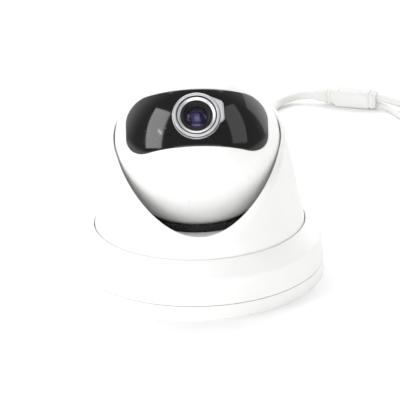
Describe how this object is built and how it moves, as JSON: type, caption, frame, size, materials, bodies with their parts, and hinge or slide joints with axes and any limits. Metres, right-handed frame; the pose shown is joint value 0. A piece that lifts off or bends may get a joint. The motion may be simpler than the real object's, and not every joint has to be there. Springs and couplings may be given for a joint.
{
  "type": "turret dome security camera",
  "caption": "White turret dome camera: round base plate with trim ring, turning turret, tilting ball with a black window and lens, and a cable with a video and a power socket.",
  "frame": {"origin": "centre of the base plate's underside, which rests on the floor or ceiling", "axes": "+Z away from the mounting face through the ball, -Y the side the lens faces, +X to the right seen from behind the camera"},
  "size_m": [0.2152, 0.2756, 0.0963],
  "materials": {
    "white_plastic": "moulded white polycarbonate and ABS, fine satin texture",
    "white_ball_plastic": "moulded white ABS, semi-gloss",
    "window_black": "polished infrared-passing black polycarbonate",
    "bezel_metal": "turned and satin anodised aluminium",
    "lens_black": "black anodised lens barrel",
    "lens_coated": "coated optical glass",
    "black_rubber": "moulded black silicone rubber, lightly greased",
    "grey_rubber": "moulded grey rubber",
    "cable_jacket": "white PVC cable jacket, satin",
    "cable_mould": "overmoulded white PVC, fine texture",
    "screw_steel": "zinc plated steel",
    "brass": "turned brass",
    "black_plastic": "moulded black plastic",
    "board_green": "green solder mask on glass fibre board",
    "board_white": "white solder mask on aluminium board",
    "chip": "image sensor package with glass lid",
    "led_phosphor": "phosphor coated emitter",
    "clear_plastic": "clear moulded acrylic",
    "filter_glass": "infrared cut filter glass",
    "nickel": "nickel plated brass",
    "ivory_plastic": "moulded ivory nylon"
  },
  "bodies": {
    "base": {"base_plate": "white_plastic", "pan_friction_ring": "grey_rubber", "cable_clamp": "white_plastic", "clamp_screws": "screw_steel", "cable_gland": "cable_mould", "main_cable": "cable_jacket", "cable_sleeve": "black_rubber", "junction_relief": "cable_mould", "junction_body": "cable_mould", "video_lead": "cable_jacket", "power_lead": "cable_jacket", "bnc_socket": "nickel", "dc_socket": "black_plastic"},
    "trim": {"trim_ring": "white_plastic"},
    "turret": {"turret_housing": "white_plastic", "ball_retainer": "white_plastic", "retainer_screws": "screw_steel", "ball_friction_ring": "black_rubber"},
    "ball": {"ball_front_shell": "white_ball_plastic", "ball_rear_shell": "white_ball_plastic", "shell_seal": "black_rubber", "shell_screws": "screw_steel", "ball_grommet": "grey_rubber", "window": "window_black", "window_gasket": "grey_rubber", "lens_bezel": "bezel_metal", "lens_barrel": "lens_black", "lens_glass": "lens_coated", "inner_glass": "lens_coated", "lens_lock_ring": "brass", "lens_holder": "black_plastic", "holder_screws": "screw_steel", "sensor_board": "board_green", "image_sensor": "chip", "board_screws": "screw_steel", "led_board": "board_white", "led_posts": "brass", "led_emitters": "led_phosphor", "led_lenses": "clear_plastic", "light_sensor": "screw_steel", "microphone": "screw_steel", "microphone_boot": "black_rubber", "main_board": "board_green", "board_standoffs": "brass", "board_connector": "ivory_plastic"},
    "filter": {"filter_slide": "black_plastic", "filter_glasses": "filter_glass"}
  },
  "joints": [
    {"name": "trim_ring_twist", "type": "hinge", "parent": "base", "child": "trim", "pos_m": [0, 0, 0.012], "axis": [0, 0, 1], "range_deg": [0, 28]},
    {"name": "turret_pan", "type": "hinge", "parent": "base", "child": "turret", "pos_m": [0, 0, 0.015], "axis": [0, 0, 1], "range_deg": [-180, 180]},
    {"name": "ball_tilt", "type": "hinge", "parent": "turret", "child": "ball", "pos_m": [0, 0, 0.0598], "axis": [1, 0, 0], "range_deg": [-50, 25]},
    {"name": "filter_switch", "type": "slide", "parent": "ball", "child": "filter", "axis": [1, 0, 0], "range_m": [0, 0.0075]}
  ]
}
